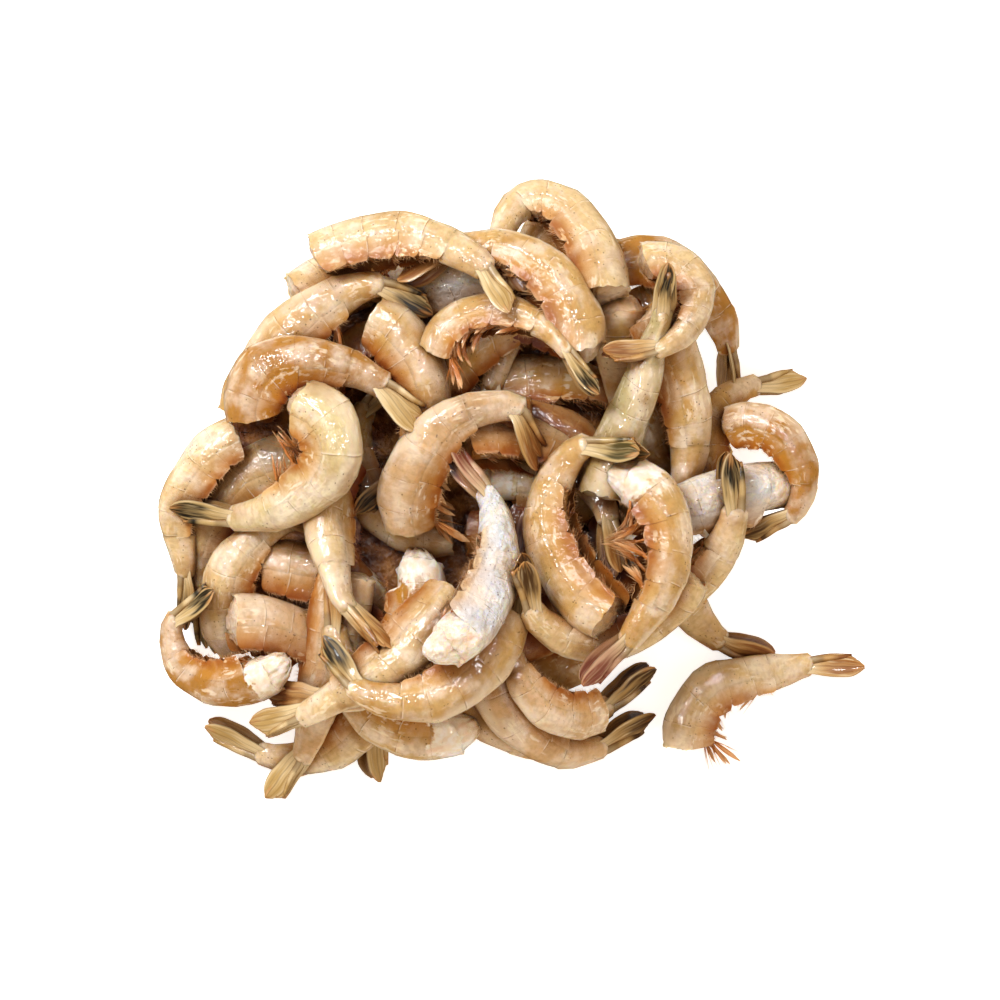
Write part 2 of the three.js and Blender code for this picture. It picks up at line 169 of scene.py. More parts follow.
class Shrimp:
    """One shrimp as it lies: its middle line in plan, and the leaning plane that carries it."""

    # the painted shade that multiplies its colours: none unless it lies hidden or at the heap's foot
    shade = (1, 1, 1)

    def __init__(self, row):
        self.x, self.y, self.heading, self.front, self.rear, self.fan, self.side = row[:7]
        size, girth, roll, lift = row[7:11]
        looks = row[11:]
        looks += USUAL_LOOKS[len(looks) :]
        self.tint, self.fan_form, self.fan_tint, self.cut, self.legs = looks
        self.size = size
        self.body = BODY_LENGTH * size
        self.tail = FAN_LENGTH * (0.5 + 0.5 * size)
        self.thickness = girth * (0.3 + 0.7 * size)
        self.roll = math.radians(roll)
        self.lift = math.radians(lift)
        self.length = self.body + self.tail
        self.draw_line()

    def draw_line(self):
        """The middle line in plan: a point and a direction for each of many small steps."""
        step = self.length / LINE_STEPS
        half = self.body / 2
        joint_start, joint_length = JOINT_START * self.body, JOINT_LENGTH * self.body
        x, y = self.x, self.y
        self.points = []
        for i in range(LINE_STEPS + 1):
            middle = (i + 0.5) * step
            turn = self.front * clamp(middle / half, 0, 1)
            turn += self.rear * clamp((middle - half) / half, 0, 1)
            turn += self.fan * clamp((middle - joint_start) / joint_length, 0, 1)
            angle = math.radians(self.heading - self.side * turn)
            self.points.append((x, y))
            x += step * math.cos(angle)
            y += step * math.sin(angle)

    def stretched(self, distance):
        """A distance along this shrimp, from the distance along one of size 1."""
        if distance <= BODY_LENGTH:
            return distance * self.size
        return self.body + (distance - BODY_LENGTH) / FAN_LENGTH * self.tail

    def point_at(self, distance):
        place = clamp(distance / self.length, 0, 1) * LINE_STEPS
        i = min(int(place), LINE_STEPS - 1)
        a, b = self.points[i], self.points[i + 1]
        t = place - i
        return a[0] + (b[0] - a[0]) * t, a[1] + (b[1] - a[1]) * t

    def stand_off(self, fan_rise, sag, distance):
        """How far the middle line stands off its plane: a rising fan and sagging ends."""
        rising = max(distance - self.body, 0) * fan_rise
        return rising - sag * (2 * distance / self.length - 1) ** 2

    def height_at(self, distance, x, y, fan_rise):
        plane = self.lean_x * (x - self.mid_x) + self.lean_y * (y - self.mid_y)
        return self.level + plane + self.stand_off(fan_rise, self.sag, distance)

    def lay(self, laid):
        """Lays the shrimp on what was laid before it, with its mean height as low as it goes."""
        samples = samples_along(self)
        self.mid_x = sum(s["x"] for s in samples) / SAMPLES
        self.mid_y = sum(s["y"] for s in samples) / SAMPLES
        off_x = np.array([s["x"] - self.mid_x for s in samples])
        off_y = np.array([s["y"] - self.mid_y for s in samples])
        heights = np.array([height_needed(s, laid, NESTLE) for s in samples])
        fan_rise = math.tan(self.lift)
        leans = np.arange(-LEAN_STEPS, LEAN_STEPS + 1) * LEAN_STEP
        planes = leans[:, None, None] * off_x + leans[None, :, None] * off_y
        best = math.inf
        for sag in range(0, SAG_STEPS * SAG_STEP + 1, SAG_STEP):
            offs = np.array([self.stand_off(fan_rise, sag, s["distance"]) for s in samples])
            levels = (heights - planes - offs).max(axis=2)
            lowest = float(levels.min()) + float(offs.mean())
            if lowest < best:
                best = lowest
                j, k = np.unravel_index(int(levels.argmin()), levels.shape)
                self.level, self.sag = float(levels[j, k]), sag
                self.lean_x, self.lean_y = float(leans[j]), float(leans[k])
        self.fan_rise = self.fan_rise_over(samples, laid, fan_rise)
        for s in samples:
            s["z"] = self.height_at(s["distance"], s["x"], s["y"], self.fan_rise)
        laid.extend(s for s in samples if self.lift == 0 or s["distance"] < self.body)

    def fan_rise_over(self, samples, laid, least):
        """The slope at which the outer part of the tail fan clears what is under it."""
        rise = least
        for s in samples:
            along_fan = s["distance"] - self.body
            if along_fan > FAN_OUTER * self.tail:
                plane = self.height_at(s["distance"], s["x"], s["y"], 0)
                wanted = height_needed(s, laid, FAN_NESTLE) - plane
                rise = max(rise, min(wanted / along_fan, FAN_RISE_MAX))
        return rise

    def path(self):
        """The middle line in space, with the tilt that each point needs in a Curve modifier."""
        places = []
        for i, (x, y) in enumerate(self.points):
            distance = i / LINE_STEPS * self.length
            places.append(Vector((x, y, self.height_at(distance, x, y, self.fan_rise))))
        normal = Vector((-self.lean_x, -self.lean_y, 1))
        turn = self.roll if self.side == RIGHT else math.pi - self.roll
        tilts = []
        for i in range(len(places)):
            tangent = (places[min(i + 1, LINE_STEPS)] - places[max(i - 1, 0)]).normalized()
            upright = Vector((0, 0, 1)) - tangent * tangent.z
            leaning = normal - tangent * normal.dot(tangent)
            lean = math.atan2(tangent.dot(upright.cross(leaning)), upright.dot(leaning))
            tilts.append(turn + lean)
        return places, tilts


def samples_along(shrimp):
    """The places along a shrimp where its contacts are checked."""
    samples = []
    for i in range(SAMPLES):
        unscaled = (i + 0.5) / SAMPLES * (BODY_LENGTH + FAN_LENGTH)
        depth, width = (half * shrimp.thickness for half in section_at(unscaled))
        distance = shrimp.stretched(unscaled)
        x, y = shrimp.point_at(distance)
        across = math.hypot(depth * math.cos(shrimp.roll), width * math.sin(shrimp.roll))
        up = math.hypot(depth * math.sin(shrimp.roll), width * math.cos(shrimp.roll))
        samples.append({"x": x, "y": y, "across": across, "up": up, "distance": distance})
    return samples


def core_height(x, y):
    inside = 1 - ((x - CORE_X) / CORE_HALF_LENGTH) ** 2 - ((y - CORE_Y) / CORE_HALF_WIDTH) ** 2
    return CORE_HEIGHT * math.sqrt(inside) if inside > 0 else 0


def height_needed(sample, laid, closeness):
    """The height that a sample must have over the surface, the core and what lies there."""
    over_core = core_height(sample["x"], sample["y"]) + closeness * sample["up"] - SETTLE
    height = max(sample["up"] - PRESS, over_core)
    for other in laid:
        apart = math.hypot(sample["x"] - other["x"], sample["y"] - other["y"])
        gap = apart / (sample["across"] + other["across"])
        if gap < 1:
            rise = closeness * (sample["up"] + other["up"]) * math.sqrt(1 - gap * gap)
            height = max(height, other["z"] + rise - SETTLE)
    return height


def lay_heap():
    """All the shrimp, each laid on those before it."""
    laid, heap = [], []
    for row in SHRIMP:
        shrimp = Shrimp(row)
        shrimp.lay(laid)
        heap.append(shrimp)
    return heap, laid


# Modelling the straight shrimp

# The shell's first five plates: where each begins and ends, how far its side flaps hang
# down, and how much of its length a flap keeps at its tip
PLATES = [
    (0, 9, 4.4, 0.84),
    (9, 18.5, 5.2, 0.86),
    (18.5, 29.5, 5.0, 0.8),
    (29.5, 39, 4.4, 0.78),
    (39, 47, 3.3, 0.7),
]

# The sixth plate is a closed tube as far as the tail joint
TAIL_PLATE = (47, 62.2)

# Along a plate, as shares of its length: how far it stands proud of the shrimp's outline.
# It ends in a small step down to the next plate, which slides under it.
PLATE_SWELL = [(0.005, -0.04), (0.12, 0.0), (0.4, 0.03), (0.75, 0.05), (1, 0.06)]
FLAP_SWELL = [(0, -0.1), (0.3, 0.0), (0.7, 0.06), (1, 0.09)]
FLAP_OVERLAP = 1.0

# Where along its plate a flap's middle hangs, as a share
FLAP_MIDDLE = 0.56

# The side flaps in steps: share of the drop, length kept, and how far they draw in
FLAP_STEPS = [(0.3, 0.98, 0.985), (0.28, 0.97, 0.97), (0.24, 0.9, 0.95), (0.18, 1.0, 0.94)]

RING_POINTS = 36
FLAP_WALL = 0.25

# The cut's forms: how far each ring of the meat bulges, and how uneven it is
CUTS = {
    "flat": ((0.5, 0.25, 0.1), 0.22),
    "blunt": ((1.9, 1.5, 0.6), 0.3),
    "domed": ((3.4, 2.8, 1.4), 0.9),
    "lumpy": ((3.2, 2.6, 1.2), 1.6),
}

# How far off the middle the cut begins to run back, in steps, how far back each step goes,
# and how much of the body's front end moves with them
CUT_STEPS = (2.5, 4.5, 6.5)
CUT_STEP_BACK = 0.5
CUT_END = 2.4

# How the body closes inside the fan: how far on, and what is left of its depth and width
REAR_END = ((0.5, 0.95), (1.3, 0.78), (1.8, 0.5))

# The fan's blades: length, width, steps along and across, ridge, cup and thickness
INNER_BLADE = (18.9, 6.4, 16, 6, 0.3, 0.3, 0.3)
OUTER_BLADE = (21.4, 7.6, 16, 6, 0.35, 0.5, 0.32)

# Where the telson and the blades grow
TELSON_ROOT = (62.2, 1.6, 0)
INNER_ROOT = (60.2, 0.5, 1.3)
OUTER_ROOT = (60.0, -0.2, 2.1)

# The telson's length, and its steps: length, and how much of its depth and width each leaves
TELSON_LENGTH = 15.7
TELSON_STEPS = ((3.5, 0.9, 0.96), (4.0, 0.84, 0.86), (4.0, 0.78, 0.74), (3.0, 0.66, 0.42))

# The tail fan's forms: how far the inner and the outer blades spread, and how far they fold
# down round the shrimp's length, in degrees
FANS = {
    "leaf": (-3, -7, 35),
    "closed": (3, 8, 68),
    "half": (8, 19, 42),
    "open": (13, 31, 14),
}

# Where the five pairs of swimmerets sit along the belly
SWIMMERET_PLACES = [6, 15, 25, 35, 43.5]
BRISTLES_A_FLAP = 12
STRANDS = 12

# How the swimmerets lie: the place under the belly, x and y, to which they all lean, by how
# many degrees they stray from it, and their size
LEGS = {
    "tight": (90, -22, 10, 0.7),
    "bunch": (25, -29, 12, 1.3),
    "front_bunch": (-24, -18, 9, 1.25),
}

# Where they grow, as shares of the half depth down and of the half width aside, and the half
# depth at which they have their full size
LEG_ROOT_DOWN = 0.62
LEG_ROOT_ASIDE = 0.42
LEG_FULL_DEPTH = 9.4


def pick(piece, test, kind="VERT"):
    """Selects the vertices, or the faces by their middle, whose place in millimetres passes."""
    bpy.ops.mesh.select_mode(type=kind)
    bpy.ops.mesh.select_all(action="DESELECT")
    shape = bmesh.from_edit_mesh(piece.data)
    for item in shape.faces if kind == "FACE" else shape.verts:
        middle = item.calc_center_median() if kind == "FACE" else item.co
        item.select_set(bool(test(middle / MM)))
    shape.select_flush_mode()
    bmesh.update_edit_mesh(piece.data)


def begin(name):
    """Names the primitive that was just added, and opens it for editing."""
    piece = bpy.context.object
    piece.name = name
    piece.data.name = name
    bpy.ops.object.transform_apply(location=True, rotation=True, scale=True)
    bpy.ops.object.mode_set(mode="EDIT")
    bpy.ops.mesh.select_all(action="SELECT")
    return piece


def extrude(x=0.0, y=0.0, z=0.0):
    move = {"value": (x * MM, y * MM, z * MM)}
    bpy.ops.mesh.extrude_region_move(TRANSFORM_OT_translate=move)


def resize(x, y, z, centre):
    bpy.ops.transform.resize(value=(x, y, z), center_override=[c * MM for c in centre])


def move(x=0.0, y=0.0, z=0.0):
    bpy.ops.transform.translate(value=(x * MM, y * MM, z * MM))


def loft(stations):
    """Extrudes the selected ring, which lies at the first station, through the others."""
    for (x0, depth0, width0), (x1, depth1, width1) in zip(stations, stations[1:]):
        extrude(x=x1 - x0)
        resize(1, depth1 / depth0, width1 / width0, (x1, 0, 0))


def stations_along(swells):
    """Where a loft's rings lie and their half depths and half widths."""
    stations = []
    for x, swell in swells:
        depth, width = section_at(x)
        stations.append((x, depth + swell, width + swell))
    return stations


def add_ring(name, station, fill):
    """A ring across the shrimp, as large as its section there."""
    x, depth, width = station
    bpy.ops.mesh.primitive_circle_add(
        vertices=RING_POINTS,
        radius=MM,
        fill_type=fill,
        location=(x * MM, 0, 0),
        rotation=(0, math.radians(90), 0),
    )
    piece = begin(name)
    resize(1, depth, width, (x, 0, 0))
    return piece


def leave_edit(piece):
    bpy.ops.mesh.select_all(action="SELECT")
    bpy.ops.mesh.normals_make_consistent(inside=False)
    bpy.ops.object.mode_set(mode="OBJECT")
    bpy.ops.object.shade_smooth()


def thicken(piece, thickness):
    """Closes an open sheet into a thin wall, inwards from its face."""
    wall = piece.modifiers.new("wall", "SOLIDIFY")
    wall.thickness = thickness * MM
    wall.offset = -1
    bpy.ops.object.modifier_apply(modifier=wall.name)
    bpy.ops.object.shade_smooth_by_angle(angle=math.radians(50))


def remember(piece, name, value_of):
    """Keeps a value for each vertex, worked out from its place in the straight shrimp."""
    kept = piece.data.attributes.new(name, "FLOAT_VECTOR", "POINT")
    for vertex, item in zip(piece.data.vertices, kept.data):
        item.vector = value_of(vertex.co / MM)


def select_only(piece):
    bpy.ops.object.select_all(action="DESELECT")
    piece.select_set(True)
    bpy.context.view_layer.objects.active = piece


def join(pieces, name):
    select_only(pieces[0])
    for piece in pieces[1:]:
        piece.select_set(True)
    bpy.ops.object.join()
    pieces[0].name = name
    pieces[0].data.name = name
    return pieces[0]


def copy_of(piece):
    """A copy with its own mesh, the only thing selected."""
    made = piece.copy()
    made.data = piece.data.copy()
    bpy.context.scene.collection.objects.link(made)
    select_only(made)
    return made


def place(piece, matrix):
    """Puts a piece at its place, and keeps that place in its mesh."""
    select_only(piece)
    piece.matrix_world = matrix
    bpy.ops.object.transform_apply(location=True, rotation=True, scale=True)
    return piece


def side_flaps(number, start, end, drop, keep):
    """One plate's two rounded flaps. They grow out of the shrimp's sides and hang down."""
    length = end - start + FLAP_OVERLAP
    stations = stations_along([(start + share * length, swell) for share, swell in FLAP_SWELL])
    depth = stations[0][1]
    flaps = add_ring(f"flaps_{number}", stations[0], "NOTHING")
    pick(flaps, lambda p: p.y > 0.02 * depth or p.y < -0.52 * depth)
    bpy.ops.mesh.delete(type="VERT")
    bpy.ops.mesh.select_all(action="SELECT")
    loft(stations)
    # the upper rows start inside the shrimp, so that the flap comes out of its side
    pick(flaps, lambda p: p.y > -0.08 * section_at(p.x)[0])
    resize(1, 1, 0.955, (0, 0, 0))
    pick(flaps, lambda p: p.y < -0.46 * section_at(p.x)[0])
    middle = start + FLAP_MIDDLE * (end - start)
    for i, (share, length_kept, draw) in enumerate(FLAP_STEPS):
        extrude(y=-drop * share)
        last = i == len(FLAP_STEPS) - 1
        resize(keep if last else length_kept, 1, draw, (middle, 0, 0))
    pick(flaps, lambda p: p.y < -0.5 * depth - 0.85 * drop)
    bpy.ops.transform.vertex_random(offset=0.7 * MM, seed=number)
    leave_edit(flaps)
    thicken(flaps, FLAP_WALL)
    remember(flaps, "own", lambda p: p)

    def along_and_down(p):
        down = (-p.y - 0.46 * section_at(p.x)[0]) / drop
        return clamp((p.x - start) / length, 0, 1), clamp(down, 0, 1), 0

    remember(flaps, "plate", along_and_down)
    return flaps


def plate_share(x):
    """How far along its plate a place is, as a share."""
    for start, end in [plate[:2] for plate in PLATES] + [TAIL_PLATE]:
        if x <= end + 0.01:
            return clamp((x - start) / (end - start), 0, 1)
    return 1


def body(cut):
    """The closed body: meat under its six plates, with the face that the knife left."""
    bulges, uneven = CUTS[cut]
    swells = []
    for start, end in [plate[:2] for plate in PLATES] + [TAIL_PLATE]:
        swells += [(start + share * (end - start), swell) for share, swell in PLATE_SWELL]
    stations = stations_along(swells)
    end, end_depth, end_width = stations[-1]
    for on, share in REAR_END:
        stations.append((end + on, share * end_depth, share * end_width))
    made = add_ring(f"body_{cut}", stations[0], "NGON")
    loft(stations)
    # a low keel runs down the back of the sixth plate
    pick(made, lambda p: p.y > 0.97 * section_at(p.x)[0] and p.x > TAIL_PLATE[0] + 1)
    move(y=0.4)
    pick(made, lambda p: p.x < 0.1, "FACE")
    bpy.ops.mesh.inset(thickness=0.5 * MM, depth=-0.3 * MM)
    for bulge in bulges:
        bpy.ops.mesh.inset(thickness=1.7 * MM, depth=bulge * MM)
    bpy.ops.mesh.poke()
    rim_depth, rim_width = stations[0][1] - 0.3, stations[0][2] - 0.3

    def on_cut(p):
        return p.x < 0.5 and math.hypot(p.y / rim_depth, p.z / rim_width) < 1

    pick(made, on_cut)
    bpy.ops.mesh.subdivide(number_cuts=1, smoothness=0.5)
    bpy.ops.transform.vertex_random(offset=uneven * MM, seed=len(cut))
    bpy.ops.mesh.vertices_smooth(factor=0.5, repeat=2)
    # the edge of the shell that the knife left is uneven too
    pick(made, lambda p: p.x < 0.1 and not on_cut(p))
    bpy.ops.transform.vertex_random(offset=0.9 * MM, seed=4)
    remember_cut = [on_cut(v.co / MM) for v in bmesh.from_edit_mesh(made.data).verts]
    # the cut runs back towards the back and the belly
    for beyond in CUT_STEPS:
        pick(made, lambda p: p.x < CUT_END and (p.y > beyond or p.y < 0.5 - beyond))
        move(x=CUT_STEP_BACK)
    # the belly is flatter than the back
    pick(made, lambda p: p.y < 0 and p.x < TAIL_PLATE[0])
    resize(1, 0.78, 1, (0, 0, 0))
    leave_edit(made)
    bpy.ops.object.shade_smooth_by_angle(angle=math.radians(55))
    remember(made, "own", lambda p: p)
    kept = made.data.attributes.new("plate", "FLOAT_VECTOR", "POINT")
    for vertex, item, is_cut in zip(made.data.vertices, kept.data, remember_cut):
        item.vector = (plate_share(vertex.co.x / MM), 0, float(is_cut))
    return made


def oval(share):
    """How wide a blade is at a share of its length, of its widest."""
    widest = 0.62
    if share < widest:
        return 0.6 + 0.4 * math.sin(share / widest * math.pi / 2)
    return max((1 - ((share - widest) / (1 - widest)) ** 2.4) ** 0.6, 0.16)


def blade(name, length, width, columns, rows, ridge, cup, wall):
    """A thin leaf along +X, flat across Z: a ridge along its middle and its edges cupped."""
    bpy.ops.mesh.primitive_grid_add(
        x_subdivisions=columns, y_subdivisions=rows, size=MM, rotation=(math.radians(90), 0, 0)
    )
    leaf = begin(name)
    resize(length, 1, width, (0, 0, 0))
    move(x=length / 2)
    for i in range(columns + 1):
        x = length * i / columns
        pick(leaf, lambda p: abs(p.x - x) < 0.4 * length / columns)
        resize(1, 1, oval(i / columns), (x, 0, 0))

    def across(p):
        return abs(p.z) / (0.5 * width * oval(clamp(p.x / length, 0, 1)))

    pick(leaf, lambda p: across(p) < 0.1)
    move(y=ridge)
    pick(leaf, lambda p: across(p) > 0.9)
    move(y=-cup)
    leave_edit(leaf)
    thicken(leaf, wall)
    remember(leaf, "own", lambda p: (p.x / length, math.copysign(across(p), p.z), 0))
    return leaf


def telson():
    """The fan's middle: a narrow pointed wedge with a groove along its top."""
    bpy.ops.mesh.primitive_cube_add(size=MM, location=(0, 0, 0))
    wedge = begin("telson")
    resize(2.4, 2.6, 4.4, (0, 0, 0))
    pick(wedge, lambda p: p.x > 0.9, "FACE")
    for step, deep, wide in TELSON_STEPS:
        extrude(x=step)
        resize(1, deep, wide, (0, 0, 0))
    bpy.ops.mesh.select_all(action="SELECT")
    bpy.ops.mesh.subdivide(number_cuts=1)
    pick(wedge, lambda p: abs(p.z) < 0.05 and p.y > 0.2)
    move(y=-0.4)
    leave_edit(wedge)
    remember(wedge, "own", lambda p: (p.x / TELSON_LENGTH, p.z / 2.2, 1))
    return wedge


def tail_fans():
    """The tail fan in each of its forms: the telson between two pairs of blades."""
    wedge = telson()
    inner = blade("inner_blade", *INNER_BLADE)
    outer = blade("outer_blade", *OUTER_BLADE)
    fans = {}
    for form, (inner_spread, outer_spread, fold) in FANS.items():
        pieces = [place(copy_of(wedge), Matrix.Translation(Vector(TELSON_ROOT) * MM))]
        for side in (1, -1):
            for leaf, spread, (x, y, z) in (
                (inner, inner_spread, INNER_ROOT),
                (outer, outer_spread, OUTER_ROOT),
            ):
                turned = Matrix.Rotation(math.radians(side * fold), 4, "X")
                turned @= Matrix.Rotation(math.radians(-side * spread), 4, "Y")
                root = Matrix.Translation(Vector((x, y, side * z)) * MM)
                pieces.append(place(copy_of(leaf), root @ turned))
        fans[form] = join(pieces, f"fan_{form}")
    for piece in (wedge, inner, outer):
        bpy.data.objects.remove(piece)
    return fans


def swimmeret():
    """One swimmeret along +X: a short flattened stalk that carries two soft blades."""
    length = 4.2
    bpy.ops.mesh.primitive_cylinder_add(
        vertices=6,
        radius=0.8 * MM,
        depth=length * MM,
        location=(length / 2 * MM, 0, 0),
        rotation=(0, math.radians(90), 0),
    )
    stalk = begin("stalk")
    resize(1, 0.9, 1.2, (0, 0, 0))
    pick(stalk, lambda p: p.x > 4)
    resize(1, 0.7, 0.8, (length, 0, 0))
    leave_edit(stalk)
    remember(stalk, "own", lambda p: (0.3 * p.x / length, p.z / 2, 0))
    form = {"columns": 6, "rows": 2, "ridge": 0.15, "cup": 0.1, "wall": 0.2}
    long_leaf = blade("long_leaf", length=10.5, width=1.5, **form)
    short_leaf = blade("short_leaf", length=8.5, width=1.2, **form)
    for leaf, root, rise, twist in (
        (long_leaf, (3.6, 0, 0.6), 14, 55),
        (short_leaf, (3.4, 0, -0.5), -6, 40),
    ):
        turned = Matrix.Rotation(math.radians(rise), 4, "Z")
        turned @= Matrix.Rotation(math.radians(twist), 4, "X")
        place(leaf, Matrix.Translation(Vector(root) * MM) @ turned)
    return join([stalk, long_leaf, short_leaf], "swimmeret")


def spike(name, length, thick, low, high):
    """A thin three-sided spike along +Z, slightly bent, with its low and high place on a leaf."""
    bpy.ops.mesh.primitive_cone_add(
        vertices=3,
        radius1=thick * MM,
        radius2=0.5 * thick * MM,
        depth=0.5 * length * MM,
        end_fill_type="NGON",
    )
    made = begin(name)
    move(z=0.25 * length)
    pick(made, lambda p: p.z > 0.4 * length, "FACE")
    extrude(x=0.08 * length, z=0.5 * length)
    bpy.ops.mesh.merge(type="CENTER")
    leave_edit(made)
    remember(made, "own", lambda p: (low + (high - low) * clamp(p.z / length, 0, 1), 0, 0))
    return made


def bristles(chance):
    """The fringe of clear bristles along the flaps' lower edges."""
    one = spike("bristle", length=2.2, thick=0.12, low=0.8, high=1.0)
    pieces = []
    for start, end, drop, keep in PLATES:
        middle = start + FLAP_MIDDLE * (end - start)
        half = 0.5 * keep * (end - start)
        for i in range(BRISTLES_A_FLAP):
            for side in (1, -1):
                x = middle + half * (2 * (i + chance.random()) / BRISTLES_A_FLAP - 1)
                depth, width = section_at(x)
                low = 0.5 * depth + drop * chance.uniform(0.9, 1.0)
                root = Vector((x, -low, side * 0.74 * width)) * MM
                down = Matrix.Rotation(math.radians(90 + chance.uniform(-35, 25)), 4, "X")
                sweep = Matrix.Rotation(math.radians(chance.uniform(-10, 55)), 4, "Z")
                size = Matrix.Scale(chance.uniform(0.6, 1.15), 4)
                pieces.append(place(copy_of(one), Matrix.Translation(root) @ sweep @ down @ size))
    bpy.data.objects.remove(one)
    return pieces


def strands(chance, root, direction):
    """The soft threads that hang with one swimmeret's leaves."""
    pieces = []
    for _ in range(STRANDS):
        one = spike("strand", length=chance.uniform(6, 13), thick=0.26, low=0.1, high=1.0)
        aside = Matrix.Rotation(math.radians(chance.uniform(-24, 24)), 4, "Z")
        aside @= Matrix.Rotation(math.radians(90 + chance.uniform(-24, 24)), 4, "Y")
        pieces.append(place(one, Matrix.Translation(root) @ direction @ aside))
    return pieces


def swimmerets(name, lean_x, lean_y, stray, size):
    """The five pairs of swimmerets under the belly, which lean to one place."""
    one = swimmeret()
    chance = random.Random(lean_x)
    pieces = []
    for x in SWIMMERET_PLACES:
        depth, width = section_at(x)
        for side in (1, -1):
            along = x + chance.uniform(-1.5, 1.5)
            root = Vector((along, -LEG_ROOT_DOWN * depth, side * LEG_ROOT_ASIDE * width)) * MM
            down = math.atan2(lean_y + LEG_ROOT_DOWN * depth, lean_x - along)
            down += math.radians(chance.uniform(-stray, stray))
            splay = math.radians(side * chance.uniform(-8, 14))
            turned = Matrix.Rotation(splay, 4, "X") @ Matrix.Rotation(down, 4, "Z")
            scale = Matrix.Scale(size * chance.uniform(0.7, 1.1) * depth / LEG_FULL_DEPTH, 4)
            pieces.append(place(copy_of(one), Matrix.Translation(root) @ turned @ scale))
            pieces += strands(chance, root, turned @ scale @ Matrix.Translation((3 * MM, 0, 0)))
    bpy.data.objects.remove(one)
    return join(pieces + bristles(chance), f"swimmerets_{name}")


# Laying copies along the middle lines

# The shell's colour on its own and the tail fan's two colours, middle and tip
SHELL_TINTS = {
    "tan": "CDAC70",
    "cream": "DCC698",
    # a pale, cool shell colour that is partly painted reflection, for the white glare on wet crumpled
    # shell
    "silver": "DAE2E9",
    "ochre": "B48440",
    "rose": "DABD94",
    "olive": "BCB283",
    "straw": "DACE9F",
}
FAN_TINTS = {
    "amber": ("C0944F", "94602B"),
    "olive": ("B0985A", "4E4622"),
    "umber": ("B08A48", "4E3517"),
    "dark": ("B89C60", "1F1C10"),
    "pale": ("D2BC8B", "B89A5E"),
    "rose": ("C59A80", "8E5140"),
}

# How many shrimp at most are put under the others, how many places are tried for them, how
# far from the core's middle they begin at most, their curls, their size and their girth
HIDDEN_COUNT = 32
HIDDEN_TRIES = 600
HIDDEN_REACH = (66, 60)
HIDDEN_CURLS = (25, 60)
HIDDEN_SIZE = (0.85, 0.9)

# How far in millimetres their middles stay below what covers them, how near that lies as a
# share of its half width, how many of the places along one may be bare, and the core's
# height where its middle ends
COVER = 7
COVER_REACH = 0.7
GLIMPSES = 4
CORE_MIDDLE = 5
# the painted shade that darkens and reddens the colours of the shrimp hidden deep in the heap
DEEP_SHADE = (0.56, 0.34, 0.17)

# Shrimp at the heap's foot, under those that overhang it
FOOT = [
    (3, -60, 0, 30, 30, 0, LEFT, 0.82, 0.9, 0, 0),
    (-46, -61, -22, 30, 30, 0, LEFT, 0.82, 0.9, 0, 0, "rose"),
]
# the painted shade on the colours of the shrimp at the heap's foot
FOOT_SHADE = (0.82, 0.66, 0.44)

# How near another surface is, in millimetres, where it makes a crevice, and what is left of
# the light's red, green and blue there
CREVICE = 9
CREVICE_SHADE = (0.54, 0.3, 0.08)

PIECE_LIMIT = 190000

# How far above the floor the lowest pieces are pressed flat, in millimetres
FLOOR_GAP = 0.3

# How far apart two shrimp lie in the materials' patterns, in millimetres
PATTERN_STEP = 40

# The half length and half width of the core that is seen
MOUND_HALF_LENGTH = 80
MOUND_HALF_WIDTH = 76

# How wide the dents in the soft shrimp are, and how far they pull it out of true, and the
# same for the core's lumps
DENTS = [(26, 3.2), (9, 1.2)]
CORE_LUMPS = [(17, 15), (7, 4)]


def linear(code):
    """A colour's linear red, green and blue from its sRGB hex code."""
    shares = [int(code[i : i + 2], 16) / 255 for i in (0, 2, 4)]
    return [s / 12.92 if s <= 0.04045 else ((s + 0.055) / 1.055) ** 2.4 for s in shares]


def middle_line(shrimp):
    """The shrimp's middle line as a curve, and how much longer it is than in plan."""
    places, tilts = shrimp.path()
    line = bpy.data.curves.new("middle_line", "CURVE")
    line.dimensions = "3D"
    line.twist_mode = "Z_UP"
    line.use_path = True
    line.use_stretch = False
    line.use_deform_bounds = False
    spline = line.splines.new("POLY")
    spline.points.add(len(places) - 1)
    for point, spot, tilt in zip(spline.points, places, tilts):
        point.co = (*(spot * MM), 1)
        point.tilt = tilt
    holder = bpy.data.objects.new("middle_line", line)
    bpy.context.scene.collection.objects.link(holder)
    length = sum((b - a).length for a, b in zip(places, places[1:]))
    return holder, length / shrimp.length


def mark(piece, name, value):
    """Gives all of a piece one colour or set of numbers for its material to read."""
    kept = piece.data.attributes.new(name, "FLOAT_VECTOR", "POINT")
    kept.data.foreach_set("vector", np.tile(value, len(piece.data.vertices)))


def bend(template, shrimp, line, longer, share, start):
    """A copy of a straight piece, at the shrimp's size, bent along its middle line."""
    piece = copy_of(template)
    piece.scale = (share * longer, shrimp.thickness, shrimp.thickness)
    piece.location.x = start * longer * MM
    bpy.ops.object.transform_apply(location=True, rotation=False, scale=True)
    lie = piece.modifiers.new("lie", "CURVE")
    lie.object = line
    lie.deform_axis = "POS_X"
    bpy.ops.object.modifier_apply(modifier=lie.name)
    return piece


def covered(shrimp, cover):
    """Whether this one lies over the core's middle, with others well above nearly all of it."""
    under = 0
    for s in samples_along(shrimp):
        if core_height(s["x"], s["y"]) < CORE_MIDDLE:
            return False
        height = shrimp.height_at(s["distance"], s["x"], s["y"], shrimp.fan_rise) + COVER
        under += any(
            other["z"] > height
            and math.hypot(other["x"] - s["x"], other["y"] - s["y"]) < COVER_REACH * other["across"]
            for other in cover
        )
    return under >= SAMPLES - GLIMPSES


